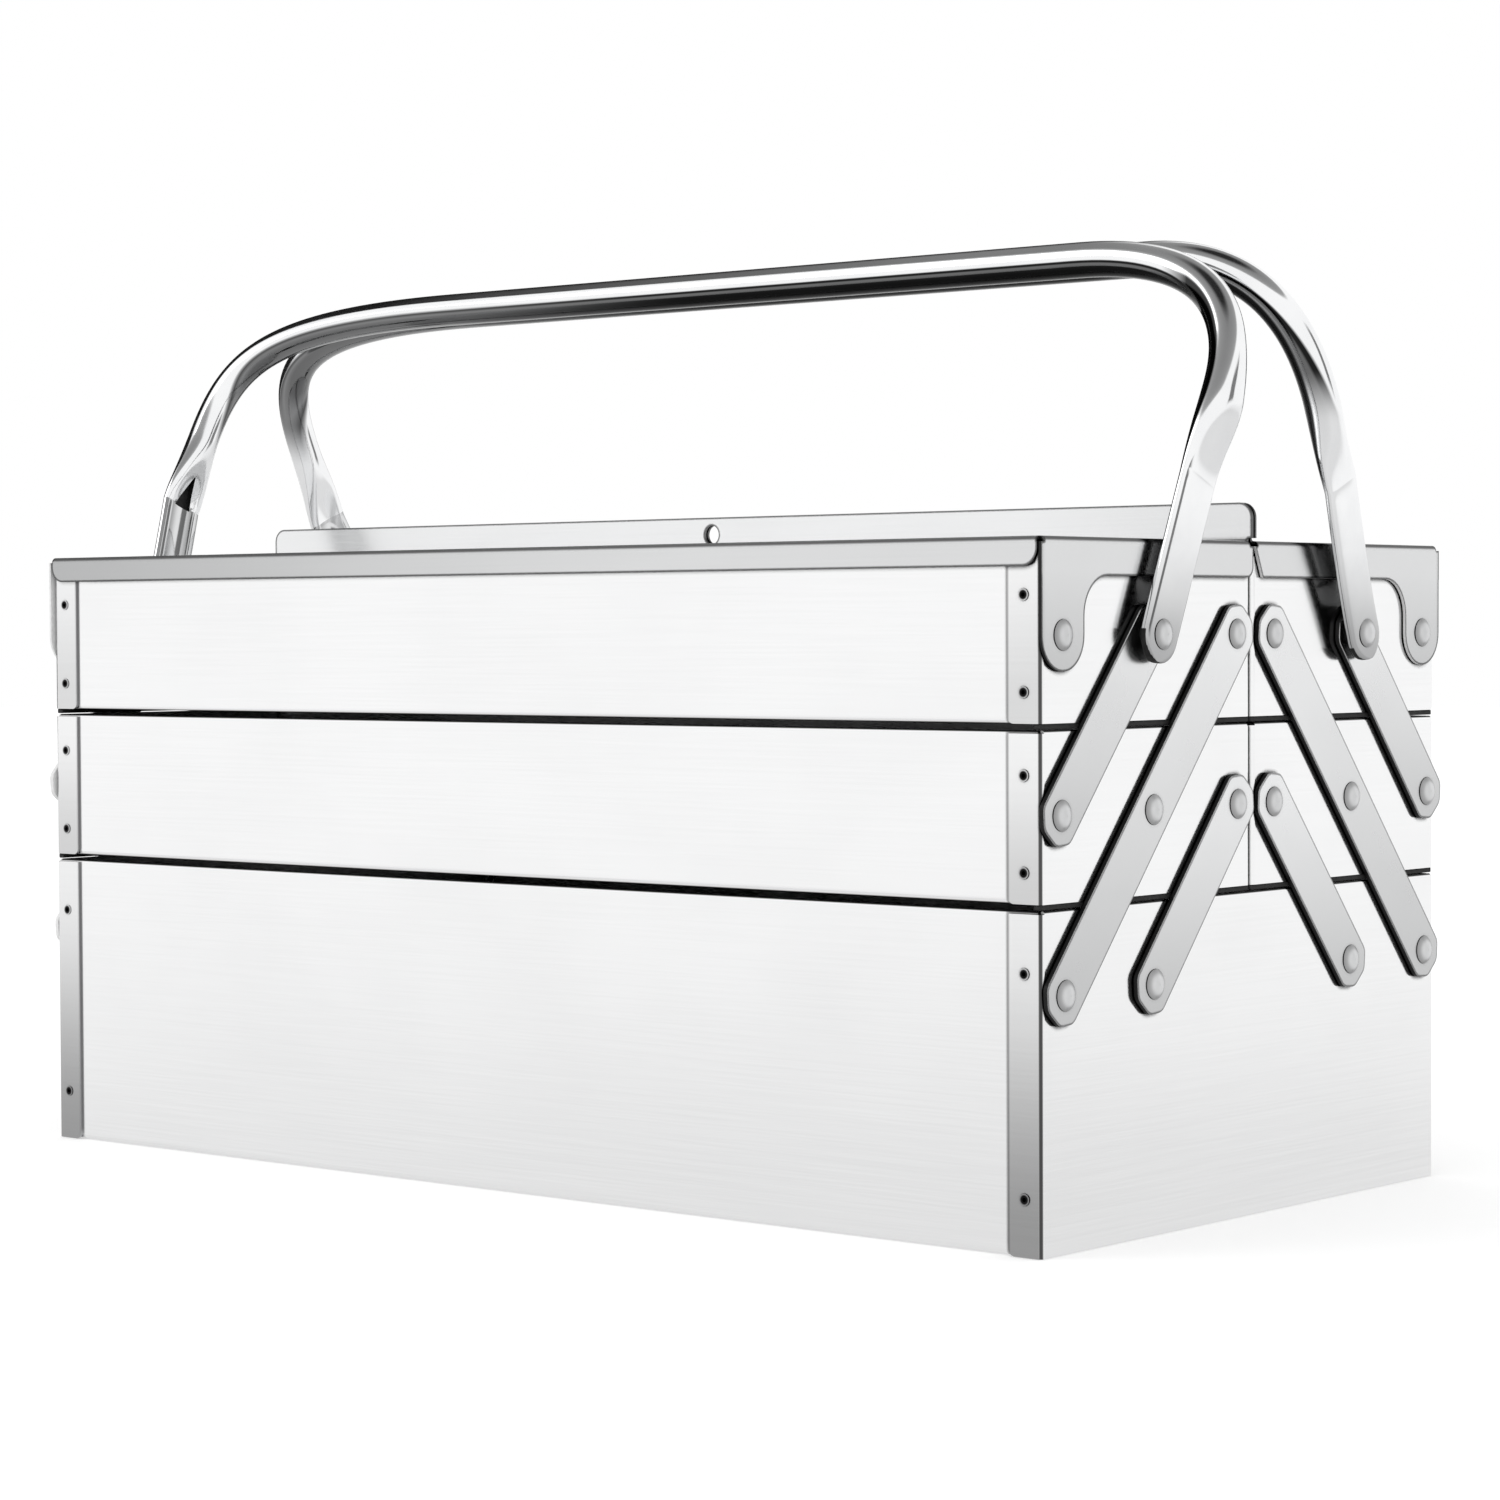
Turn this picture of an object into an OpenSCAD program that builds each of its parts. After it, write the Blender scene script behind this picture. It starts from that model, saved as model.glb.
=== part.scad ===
// Cantilever tool box: a bottom box and four trays that swing out on pairs of parallel links,
// under two lids and between two tube handles.
// X runs along the length, Y from the front to the back and Z up from the floor.
// Pieces are drawn at the front or at the right-hand end and mirrored to their places.

/* [Bottom box] */
// Outside length over the end panels
body_l = 404; // [360:2:480]
// Outside depth over the corner flanges
body_w = 204; // [196:2:240]
// Height of the bottom box's rim above the floor
base_h = 92.8; // [80:0.4:130]
// Thickness of the sheet steel
sheet = 0.8; // [0.7:0.1:1]
// Outside radius of the sheet's bends
bend_r = 1.6; // [1.4:0.2:2.2]
// Depth of the folded hem along the rims
hem_h = 6; // [4:1:9]
// Width of the end panels' flanges around the corners
flange_w = 11; // [9:1:16]
// Radius on the lower corners of those flanges
flange_corner_r = 2; // [1:0.5:4]

/* [Folding trays] */
// Height of a folding tray
tray_h = 46.4; // [42:0.4:58]
// Gap between a rim and the tray above it
tier_gap = 1.8; // [1.2:0.2:3]
// Gap between the front and back trays
middle_gap = 0.8; // [0.8:0.2:2.4]

/* [Links] */
// Width of a link
link_w = 16; // [12:0.5:17]
// Thickness of a link
link_t = 1.6; // [1.2:0.2:2]
// Size of the cut corners at a link's ends
link_clip = 4.4; // [3:0.2:5]
// Distance of a long link's lower pivot from the outside of the box
long_pivot_inset = 8.8; // [7:0.4:14]
// Distance of a long link's upper pivot from the middle of the box
long_pivot_from_middle = 9.8; // [9.4:0.2:13]
// Distance of a lower link's upper pivot from the middle of the box
lower_pivot_from_middle = 9.4; // [9.4:0.2:13]
// Distance of an upper link's lower pivot from the outside of the box
upper_pivot_inset = 7.2; // [6.4:0.4:12]
// Depth of the lowest pivots below the bottom box's rim
pivot_drop = 22.8; // [16:0.4:30]

/* [Rivets] */
// Radius of the pivot rivets' shanks
rivet_r = 2; // [1.5:0.25:2.5]
// Radius of the domed rivet heads
head_r = 4.2; // [3.4:0.2:5]
// Height of the domed rivet heads
head_h = 1.6; // [1.2:0.1:2]
// Radius of the collar that holds a handle off its link
collar_r = 3.4; // [2.8:0.2:4]
// Radius of the peened tail inside a tray
tail_r = 3; // [2.6:0.2:3.6]
// Height of the peened tail
tail_h = 1; // [0.8:0.1:1.4]
// Radius of the tube rivets in the corner flanges
corner_rivet_r = 1.2; // [1:0.1:1.5]
// Radius of their heads
corner_head_r = 1.6; // [1.6:0.1:2]
// Height of their heads
corner_head_h = 0.3; // [0.2:0.05:0.4]
// Height of a tray's lower corner rivets above its floor
tray_rivet_up = 8.4; // [6:0.4:12]
// Depth of a tray's upper corner rivets below its rim
tray_rivet_down = 12; // [10:0.4:16]
// Height of the bottom box's lower corner rivets above the floor
base_rivet_up = 15.6; // [8:0.4:24]
// Depth of the bottom box's upper corner rivets below its rim
base_rivet_down = 16.8; // [10:0.4:24]

/* [Lids] */
// Height of a lid's underside above the top tray's rim
lid_lift = 2.8; // [2.2:0.2:4]
// Height of the lip along a lid's outer edge
lip_h = 8; // [6:0.5:11]
// Radius on the lip's lower corners
lip_corner_r = 5; // [2:0.5:6]
// Height of the upright flange along a lid's inner edge, above the lid
ridge_h = 11; // [9:0.5:16]
// Radius on the upright flange's corners
ridge_corner_r = 4.4; // [2:0.2:7]
// Gap between the two upright flanges
ridge_gap = 0.8; // [0.6:0.2:1.4]
// Depth of the flange at each end of a lid
end_flange_h = 10.4; // [8:0.4:13]
// Distance of a lid's pivot from the outside of the box
ear_inset = 8.8; // [8:0.4:14]
// Radius of the ear around a lid's pivot
ear_r = 9.8; // [7:0.2:10]
// Radius of the fillet beside the ear
ear_fillet_r = 11; // [6:1:13]
// Radius on the end flange's free corner
end_corner_r = 3; // [2:0.5:4]
// Slant of the back lid's end flanges at the middle of the box
lid_relief = 4.6; // [3:0.2:7]
// Radius of the padlock hole through the upright flanges
lock_hole_r = 3; // [2:0.25:4]

/* [Handles] */
// Radius of the handle tube
tube_r = 5.25; // [4.75:0.25:6]
// Wall of the handle tube
tube_wall = 1.2; // [1:0.1:1.6]
// Distance from a handle's pivot to the middle of its grip
handle_reach = 119.2; // [116.8:0.4:150]
// Radius of the handle's corners, to the tube's centre line
handle_corner_r = 49.6; // [36:0.4:52]
// Distance of the leg's centre line from the end panel
leg_out = 8.8; // [8.8:0.2:12]
// Width of the flattened end of the tube
strap_w = 16; // [14:0.5:17]
// Thickness of the flattened end of the tube
strap_t = 2.8; // [2.4:0.2:3.4]
// Length of the flattened end above its pivot
strap_l = 47; // [42:1:48]
// Length over which the flattened end opens into the tube
opening_l = 20; // [10:1:21]
// Gap between the two grips
grip_gap = 0.6; // [0.6:0.2:2]

/* [Fits] */
// Radial clearance of a link or handle on its rivet
pivot_fit = 0.05; // [0.03:0.01:0.09]
// Radial clearance at the link holes that only follow the others
free_fit = 0.4; // [0.3:0.05:0.6]
// Clearance on each side of a link or handle along its rivet
side_play = 0.2; // [0.15:0.05:0.25]
// Clearance between pieces that pass over each other
pass_gap = 0.4; // [0.3:0.05:0.6]

/* [Hidden] */
$fn = 64;

front = 0;
back = 1;
right = 0;
left = 1;

panel_colour = [0.88, 0.89, 0.9];
lid_colour = [0.8, 0.81, 0.82];
link_colour = [0.7, 0.71, 0.72];
rivet_colour = [0.62, 0.63, 0.64];
corner_rivet_colour = [0.25, 0.25, 0.26];
chrome_colour = [0.82, 0.84, 0.86];

end_x = body_l / 2;
side_y = body_w / 2;
tier_pitch = tray_h + tier_gap;
mid_z = base_h + tier_gap;
top_z = mid_z + tier_pitch;
top_rim_z = top_z + tray_h;
tray_w = side_y - middle_gap / 2;

// Each tray hangs on two links of the same run and rise, so that it stays level
long_low_y = side_y - long_pivot_inset;
long_top_y = long_pivot_from_middle;
link_run = (long_low_y - long_top_y) / 2;
link_rise = tier_pitch;
link_lean = atan2(link_run, link_rise);
link_pitch = norm([link_run, link_rise]);
long_mid_y = long_low_y - link_run;
lower_top_y = lower_pivot_from_middle;
lower_low_y = lower_top_y + link_run;
upper_low_y = side_y - upper_pivot_inset;
upper_top_y = upper_low_y - link_run;
pivot_low_z = base_h - pivot_drop;
pivot_mid_z = pivot_low_z + link_rise;
pivot_top_z = pivot_mid_z + link_rise;

// Layers outward from the end panel's outer face
lid_in = pass_gap * 0.75;
lid_out = lid_in + sheet;
ear_head = lid_out + side_play;
link_in = side_play;
link_out = link_in + link_t;
link_head = link_out + side_play;
strap_in = ear_head + head_h + pass_gap;
strap_out = strap_in + strap_t;
handle_head = strap_out + side_play;
collar_t = strap_in - side_play - link_head;

lid_z = top_rim_z + lid_lift;
lid_top_z = lid_z + sheet;
lid_outer_y = side_y + lid_in + sheet;
lid_inner_y = ridge_gap / 2;
lid_end_x = end_x + lid_out;
ear_y = side_y - ear_inset;

grip_y = tube_r + grip_gap / 2;
handle_lean = asin((upper_top_y - grip_y) / handle_reach);
leg_x = end_x + leg_out;
strap_x = end_x + strap_in;
corner_z = handle_reach - handle_corner_r;
grip_half = leg_x - handle_corner_r;
leg_z = strap_l + opening_l;

hull_fn = 48;
skin = 0.01;
through = 1;

module at_side(side) {
    mirror([0, side, 0])
        children();
}

module at_end(end) {
    mirror([end, 0, 0])
        children();
}

module both_ends() {
    for (end = [right, left])
        at_end(end)
            children();
}

// Extrudes a drawing of the Y-Z plane along +X
module along_x(length) {
    rotate([90, 0, 90])
        linear_extrude(length)
            children();
}

// A bar along +X, used for every rivet and hole on the ends
module x_cylinder(r, length) {
    rotate([0, 90, 0])
        cylinder(r = r, h = length);
}

module rounded_trough(w, h, r) {
    translate([0, r])
        square([w, h - r]);
    translate([r, 0])
        square([w - 2 * r, h]);
    for (x = [r, w - r])
        translate([x, r])
            circle(r);
}

// A channel with bent lower corners, open at the top
module channel(w, h, t, r) {
    difference() {
        rounded_trough(w, h, r);
        translate([t, t])
            rounded_trough(w - 2 * t, h, r - t);
    }
}

// The square corner outside a quarter circle whose centre is at r, r
module corner_waste(r) {
    difference() {
        translate([-through, -through])
            square(r + through);
        translate([r, r])
            circle(r);
    }
}

// A quarter of a bend from +X round to +Y, drawn about the bend's centre
module bend(r_out, t) {
    intersection() {
        difference() {
            circle(r_out);
            circle(r_out - t);
        }
        square(r_out);
    }
}

// Two layers of sheet under a round fold, against the inside of a wall at x = 0
module hem(rim) {
    translate([sheet, rim - sheet])
        circle(sheet);
    translate([sheet - skin, rim - hem_h])
        square([sheet + skin, hem_h - sheet]);
}

module dome(r, h) {
    ball_r = (r * r + h * h) / (2 * h);
    intersection() {
        translate([0, 0, h - ball_r])
            sphere(ball_r);
        cylinder(r = r, h = h);
    }
}

// ---- Pans and end panels ----

function rivet_rows(floor_z, rim_z, up, down) = [floor_z + up, rim_z - down];

function base_rows() = rivet_rows(0, base_h, base_rivet_up, base_rivet_down);

function tray_rows(floor_z) = rivet_rows(floor_z, floor_z + tray_h, tray_rivet_up, tray_rivet_down);

// Places children at the corner rivets of a wall whose outer face is at wall_y
module corner_rivet_places(wall_y, outward, rows) {
    for (end = [right, left], z = rows)
        at_end(end)
            translate([end_x - flange_w / 2, wall_y, z])
                rotate([outward * 90, 0, 0])
                    children();
}

module corner_rivet_holes(y_low, y_high, rows) {
    for (wall = [[y_low, 1], [y_high, -1]])
        corner_rivet_places(wall[0], wall[1], rows)
            translate([0, 0, -3 * sheet])
                cylinder(r = corner_rivet_r, h = 4 * sheet);
}

module corner_rivet() {
    difference() {
        union() {
            cylinder(r = corner_head_r, h = corner_head_h);
            translate([0, 0, -2 * sheet])
                cylinder(r = corner_rivet_r, h = 2 * sheet);
            translate([0, 0, -2 * sheet - 2 * corner_head_h])
                cylinder(r = corner_head_r, h = 2 * corner_head_h);
        }
        translate([0, 0, -sheet])
            cylinder(r = corner_rivet_r / 2, h = 2 * sheet);
    }
}

module corner_rivets(y_low, y_high, rows) {
    color(corner_rivet_colour)
        for (wall = [[y_low, 1], [y_high, -1]])
            corner_rivet_places(wall[0], wall[1], rows)
                corner_rivet();
}

// Front wall, floor and back wall bent from one sheet, inside the end panels' flanges
module pan(y_low, w, floor_z, h, rows) {
    wall_l = body_l - 2 * bend_r;
    floor_l = body_l - 2 * sheet;
    pan_w = w - 2 * sheet;
    color(panel_colour)
        difference() {
            union() {
                translate([-wall_l / 2, y_low + sheet, floor_z])
                    along_x(wall_l) {
                        channel(pan_w, h - sheet, sheet, bend_r);
                        hem(h);
                        translate([pan_w, 0])
                            mirror([1, 0])
                                hem(h);
                    }
                translate([-floor_l / 2, y_low + sheet + bend_r, floor_z])
                    cube([floor_l, pan_w - 2 * bend_r, sheet]);
            }
            corner_rivet_holes(y_low, y_low + w, rows);
        }
}

// Right-hand end panel with its two flanges and its hem; pivots lists its holes as [y, z]
module end_panel(y_low, w, floor_z, h, rows, pivots) {
    color(panel_colour)
        difference() {
            union() {
                translate([end_x, y_low, floor_z])
                    rotate([0, 0, 90])
                        linear_extrude(h - sheet)
                            channel(w, flange_w, sheet, bend_r);
                translate([end_x, y_low + w - bend_r, floor_z])
                    rotate([90, 0, 0])
                        linear_extrude(w - 2 * bend_r)
                            mirror([1, 0])
                                hem(h);
            }
            for (y = [y_low - through, y_low + w - sheet - through])
                translate([end_x - flange_w, y, floor_z])
                    translate([0, sheet + 2 * through, 0])
                        rotate([90, 0, 0])
                            linear_extrude(sheet + 2 * through)
                                corner_waste(flange_corner_r);
            corner_rivet_holes(y_low, y_low + w, rows);
            for (p = pivots)
                translate([end_x - 2 * sheet, p[0], p[1]])
                    x_cylinder(rivet_r, 4 * sheet);
        }
}

// The pivots that each tier's end panels carry, as [y, z], at the front
base_pivots = [[-long_low_y, pivot_low_z], [-lower_low_y, pivot_low_z]];
mid_pivots = [[-upper_low_y, pivot_mid_z], [-long_mid_y, pivot_mid_z], [-lower_top_y, pivot_mid_z]];
top_link_pivot = [-long_top_y, pivot_top_z];
top_handle_pivot = [-upper_top_y, pivot_top_z];
ear_pivot = [-ear_y, pivot_top_z];
top_pivots = [top_link_pivot, top_handle_pivot, ear_pivot];

module base_pan() {
    pan(-side_y, body_w, 0, base_h, base_rows());
}

module base_end(end) {
    mirrored = [for (p = base_pivots) [-p[0], p[1]]];
    at_end(end)
        end_panel(-side_y, body_w, 0, base_h, base_rows(), concat(base_pivots, mirrored));
}

module tray_pan(side, floor_z) {
    at_side(side)
        pan(-side_y, tray_w, floor_z, tray_h, tray_rows(floor_z));
}

module tray_end(side, end, floor_z, pivots) {
    at_side(side)
        at_end(end)
            end_panel(-side_y, tray_w, floor_z, tray_h, tray_rows(floor_z), pivots);
}

module base_corner_rivets() {
    corner_rivets(-side_y, side_y, base_rows());
}

module tray_corner_rivets(side, floor_z) {
    at_side(side)
        corner_rivets(-side_y, -middle_gap / 2, tray_rows(floor_z));
}

// ---- Pivot rivets ----

// A rivet through the end panel: peened tail, shank and a dome at head_x
module pivot_rivet(head_x) {
    translate([-sheet - tail_h, 0, 0])
        x_cylinder(tail_r, tail_h);
    translate([-sheet, 0, 0])
        x_cylinder(rivet_r, sheet + head_x);
    translate([head_x, 0, 0])
        rotate([0, 90, 0])
            dome(head_r, head_h);
}

module rivets_at(pivots, head_x) {
    color(rivet_colour)
        both_ends()
            for (p = pivots)
                translate([end_x, p[0], p[1]])
                    pivot_rivet(head_x);
}

// Collars round the handles' rivets, between link and handle
module handle_collars() {
    color(rivet_colour)
        both_ends()
            translate([end_x + link_head, top_handle_pivot[0], top_handle_pivot[1]])
                x_cylinder(collar_r, collar_t);
}

module base_pivot_rivets() {
    for (side = [front, back])
        at_side(side)
            rivets_at(base_pivots, link_head);
}

module mid_pivot_rivets(side) {
    at_side(side)
        rivets_at(mid_pivots, link_head);
}

module top_pivot_rivets(side) {
    at_side(side) {
        rivets_at([top_link_pivot], link_head);
        rivets_at([top_handle_pivot], handle_head);
        handle_collars();
    }
}

module lid_rivets(side) {
    at_side(side)
        rivets_at([ear_pivot], ear_head);
}

// ---- Links ----

// A strap from its lower pivot at the origin to one at length, with cut corners
module link_outline(length) {
    half = link_w / 2;
    low = -half;
    high = length + half;
    polygon([
        [-half, low + link_clip], [-half + link_clip, low],
        [half - link_clip, low], [half, low + link_clip],
        [half, high - link_clip], [half - link_clip, high],
        [-half + link_clip, high], [-half, high - link_clip]
    ]);
}

// holes lists [distance from the lower pivot, radial clearance]
module link(low_y, low_z, length, holes) {
    color(link_colour)
        translate([end_x + link_in, -low_y, low_z])
            along_x(link_t)
                rotate(-link_lean)
                    difference() {
                        link_outline(length);
                        for (hole = holes)
                            translate([0, hole[0]])
                                circle(rivet_r + hole[1]);
                    }
}

module long_link(side, end) {
    at_side(side)
        at_end(end)
            link(long_low_y, pivot_low_z, 2 * link_pitch,
                [[0, pivot_fit], [link_pitch, pivot_fit], [2 * link_pitch, pivot_fit]]);
}

module lower_link(side, end) {
    at_side(side)
        at_end(end)
            link(lower_low_y, pivot_low_z, link_pitch, [[0, pivot_fit], [link_pitch, free_fit]]);
}

module upper_link(side, end) {
    at_side(side)
        at_end(end)
            link(upper_low_y, pivot_mid_z, link_pitch, [[0, pivot_fit], [link_pitch, free_fit]]);
}

// ---- Lids ----

// Lip, top and upright flange as one bent strip, drawn in the Y-Z plane at the front
module lid_top_section() {
    translate([-lid_outer_y + bend_r, lid_z])
        square([lid_outer_y - lid_inner_y - 2 * bend_r, sheet]);
    translate([-lid_outer_y + bend_r, lid_top_z - bend_r])
        mirror([1, 0])
            bend(bend_r, sheet);
    translate([-lid_inner_y - bend_r, lid_z + bend_r])
        mirror([0, 1])
            bend(bend_r, sheet);
}

// Lip with round lower corners
module lid_lip() {
    lip_l = 2 * (end_x - lid_in);
    drop = lip_h - bend_r;
    translate([0, -lid_outer_y + sheet, lid_top_z - lip_h])
        rotate([90, 0, 0])
            linear_extrude(sheet)
                difference() {
                    translate([-lip_l / 2, 0])
                        square([lip_l, drop]);
                    for (end = [right, left])
                        mirror([end, 0])
                            translate([-lip_l / 2, 0])
                                corner_waste(lip_corner_r);
                }
}

// Upright flange with round upper corners and the padlock hole
module lid_ridge() {
    rise = ridge_h + sheet - bend_r;
    translate([0, -lid_inner_y, lid_z + bend_r])
        rotate([90, 0, 0])
            linear_extrude(sheet)
                difference() {
                    translate([-lid_end_x, 0])
                        square([2 * lid_end_x, rise]);
                    for (end = [right, left])
                        mirror([end, 0])
                            translate([-lid_end_x, rise])
                                mirror([0, 1])
                                    corner_waste(ridge_corner_r);
                    translate([0, rise - ridge_h / 2])
                        circle(lock_hole_r);
                }
}

// End flange with its pivot ear, drawn in the Y-Z plane at the front
module lid_end_outline(relief) {
    flange_z = lid_top_z - end_flange_h;
    flange_top = lid_top_z - bend_r;
    difference() {
        union() {
            translate([-lid_outer_y, flange_z])
                square([lid_outer_y - lid_inner_y, flange_top - flange_z]);
            translate([-ear_y - ear_r, pivot_top_z])
                square([2 * ear_r, flange_top - pivot_top_z]);
            translate([-ear_y, pivot_top_z])
                circle(ear_r);
            translate([-ear_y + ear_r, flange_z - ear_fillet_r])
                difference() {
                    translate([-skin, 0])
                        square([ear_fillet_r + skin, ear_fillet_r + skin]);
                    translate([ear_fillet_r, 0])
                        circle(ear_fillet_r);
                }
        }
        translate([-ear_y, pivot_top_z])
            circle(rivet_r + pivot_fit);
        if (relief > 0)
            polygon([
                [-lid_inner_y - relief, flange_z - through], [-lid_inner_y + through, flange_z - through],
                [-lid_inner_y + through, flange_top + through], [-lid_inner_y, flange_top + through]
            ]);
        if (relief == 0)
            translate([-lid_inner_y, flange_z])
                mirror([1, 0])
                    corner_waste(end_corner_r);
    }
}

module lid_end(relief) {
    translate([end_x + lid_in, 0, 0])
        along_x(sheet)
            lid_end_outline(relief);
    translate([lid_end_x - bend_r, -lid_inner_y - bend_r, lid_top_z - bend_r])
        rotate([90, 0, 0])
            linear_extrude(lid_outer_y - lid_inner_y - 2 * bend_r)
                bend(bend_r, sheet);
}

module lid(side, relief) {
    top_l = 2 * (lid_end_x - bend_r);
    color(lid_colour)
        at_side(side) {
            translate([-top_l / 2, 0, 0])
                along_x(top_l)
                    lid_top_section();
            lid_lip();
            lid_ridge();
            both_ends()
                lid_end(relief);
        }
}

// ---- Handles ----

module tube_section() {
    difference() {
        circle(tube_r);
        circle(tube_r - tube_wall);
    }
}

// One leg of the tube and its corner, up to the grip
module tube_leg() {
    translate([leg_x, 0, leg_z])
        linear_extrude(corner_z - leg_z)
            tube_section();
    translate([grip_half, 0, corner_z])
        rotate([90, 0, 0])
            rotate_extrude(angle = 90)
                translate([handle_corner_r, 0])
                    tube_section();
}

module tube_grip() {
    translate([-grip_half, 0, handle_reach])
        rotate([0, 90, 0])
            linear_extrude(2 * grip_half)
                tube_section();
}

// A solid that runs from a flat end of the given size to a disc of radius r below the tube
module opening_core(r, flat_x, flat_t, flat_w) {
    hull() {
        translate([leg_x, 0, leg_z - skin])
            cylinder(r = r, h = 2 * skin, $fn = hull_fn);
        translate([flat_x, -flat_w / 2, strap_l])
            cube([flat_t, flat_w, skin]);
    }
}

// The stretch where the flat end opens into the tube, with a triangular mouth on its inner side
module tube_opening() {
    slit_t = strap_t - 2 * tube_wall;
    slit_w = strap_w - 4 * tube_wall;
    mouth_w = strap_w * 0.4;
    difference() {
        opening_core(tube_r - skin, strap_x, strap_t, strap_w);
        opening_core(tube_r - tube_wall - skin, strap_x + tube_wall, slit_t, slit_w);
        translate([strap_x - strap_t, 0, strap_l])
            along_x(1.5 * strap_t)
                polygon([[-mouth_w / 2, -through], [mouth_w / 2, -through], [0, opening_l * 0.75]]);
    }
}

// Flattened end: a strap that is round about its pivot, with a trough on its inner side
module strap() {
    trough_r = strap_w * 0.7;
    trough_deep = strap_t * 0.4;
    difference() {
        translate([strap_x, 0, 0])
            along_x(strap_t)
                difference() {
                    union() {
                        circle(strap_w / 2);
                        translate([-strap_w / 2, 0])
                            square([strap_w, strap_l]);
                    }
                    circle(rivet_r + pivot_fit);
                }
        translate([strap_x + trough_deep - trough_r, 0, strap_w])
            cylinder(r = trough_r, h = strap_l);
    }
}

module handle(side) {
    color(chrome_colour)
        at_side(side)
            translate([0, -upper_top_y, pivot_top_z])
                rotate([-handle_lean, 0, 0]) {
                    tube_grip();
                    both_ends() {
                        tube_leg();
                        tube_opening();
                        strap();
                    }
                }
}

base_pan();
base_end(left);  // base_end_left
base_end(right);  // base_end_right
base_corner_rivets();
base_pivot_rivets();

tray_pan(front, mid_z);  // front_mid_pan
tray_end(front, left, mid_z, mid_pivots);  // front_mid_end_left
tray_end(front, right, mid_z, mid_pivots);  // front_mid_end_right
tray_corner_rivets(front, mid_z);  // front_mid_corner_rivets
mid_pivot_rivets(front);  // front_mid_pivot_rivets
tray_pan(front, top_z);  // front_top_pan
tray_end(front, left, top_z, top_pivots);  // front_top_end_left
tray_end(front, right, top_z, top_pivots);  // front_top_end_right
tray_corner_rivets(front, top_z);  // front_top_corner_rivets
top_pivot_rivets(front);  // front_top_pivot_rivets
lid_rivets(front);  // front_lid_rivets
long_link(front, left);  // front_long_link_left
long_link(front, right);  // front_long_link_right
lower_link(front, left);  // front_lower_link_left
lower_link(front, right);  // front_lower_link_right
upper_link(front, left);  // front_upper_link_left
upper_link(front, right);  // front_upper_link_right
lid(front, 0);  // front_lid
handle(front);  // front_handle

tray_pan(back, mid_z);  // back_mid_pan
tray_end(back, left, mid_z, mid_pivots);  // back_mid_end_left
tray_end(back, right, mid_z, mid_pivots);  // back_mid_end_right
tray_corner_rivets(back, mid_z);  // back_mid_corner_rivets
mid_pivot_rivets(back);  // back_mid_pivot_rivets
tray_pan(back, top_z);  // back_top_pan
tray_end(back, left, top_z, top_pivots);  // back_top_end_left
tray_end(back, right, top_z, top_pivots);  // back_top_end_right
tray_corner_rivets(back, top_z);  // back_top_corner_rivets
top_pivot_rivets(back);  // back_top_pivot_rivets
lid_rivets(back);  // back_lid_rivets
long_link(back, left);  // back_long_link_left
long_link(back, right);  // back_long_link_right
lower_link(back, left);  // back_lower_link_left
lower_link(back, right);  // back_lower_link_right
upper_link(back, left);  // back_upper_link_left
upper_link(back, right);  // back_upper_link_right
lid(back, lid_relief);  // back_lid
handle(back);  // back_handle
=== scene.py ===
"""Cantilever tool box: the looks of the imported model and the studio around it.

Everything is in the model's own frame: X along the length, Y from front to back, Z up. Names in capitals hold
millimetres where they hold a length. Blender's own values are in metres.
"""

import math

import bmesh
import bpy
from mathutils import Matrix, Vector


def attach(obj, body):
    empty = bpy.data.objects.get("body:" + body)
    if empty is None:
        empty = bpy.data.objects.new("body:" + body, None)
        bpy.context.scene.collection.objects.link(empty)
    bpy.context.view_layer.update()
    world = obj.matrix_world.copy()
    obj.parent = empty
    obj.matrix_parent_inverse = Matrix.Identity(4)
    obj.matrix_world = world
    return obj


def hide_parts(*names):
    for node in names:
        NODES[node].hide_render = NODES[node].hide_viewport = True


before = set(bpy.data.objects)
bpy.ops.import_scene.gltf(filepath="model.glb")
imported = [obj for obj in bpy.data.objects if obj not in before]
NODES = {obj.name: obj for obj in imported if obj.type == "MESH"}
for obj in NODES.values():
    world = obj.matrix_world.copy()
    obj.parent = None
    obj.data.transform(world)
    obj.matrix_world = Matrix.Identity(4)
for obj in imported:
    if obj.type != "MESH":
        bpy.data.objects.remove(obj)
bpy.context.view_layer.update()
SCENE = bpy.context.scene
MM = 0.001
SIDES = {"front": 1, "back": -1}
ENDS = {"right": 1, "left": -1}


# ---- The model's sizes, as the part's source has them ----

# Outer faces of the end panels and of the long walls, and the width of the end panels' bent flanges.
END_X, SIDE_Y, FLANGE_W = 202.0, 102.0, 11.0
# Floor and rim of each tier.
TIERS = {"base": (0.0, 92.8), "mid": (94.6, 141.0), "top": (142.8, 189.2)}
# Corner rivets' heights above a tier's floor and below its rim, for the base and for a tray.
RIVET_UP, RIVET_DOWN = (15.6, 8.4), (16.8, 12.0)
# Links: inner and outer face measured from the end panel, width, clipped corner and bore.
LINK_IN, LINK_OUT, LINK_W, LINK_CLIP, BORE_R = 0.2, 1.8, 16.0, 4.4, 2.05
# From one pivot of a link to the next, across and up, and the same as a length and a lean.
LINK_RUN, LINK_RISE = 41.7, 48.2
LINK_PITCH, LINK_LEAN = math.hypot(LINK_RUN, LINK_RISE), math.atan2(LINK_RUN, LINK_RISE)
# Each kind's lowest pivot, off the middle plane and up, and how many times it reaches on from there.
LINKS = {"long": (93.2, 70.0, 2), "lower": (51.1, 70.0, 1), "upper": (94.8, 118.2, 1)}
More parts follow.
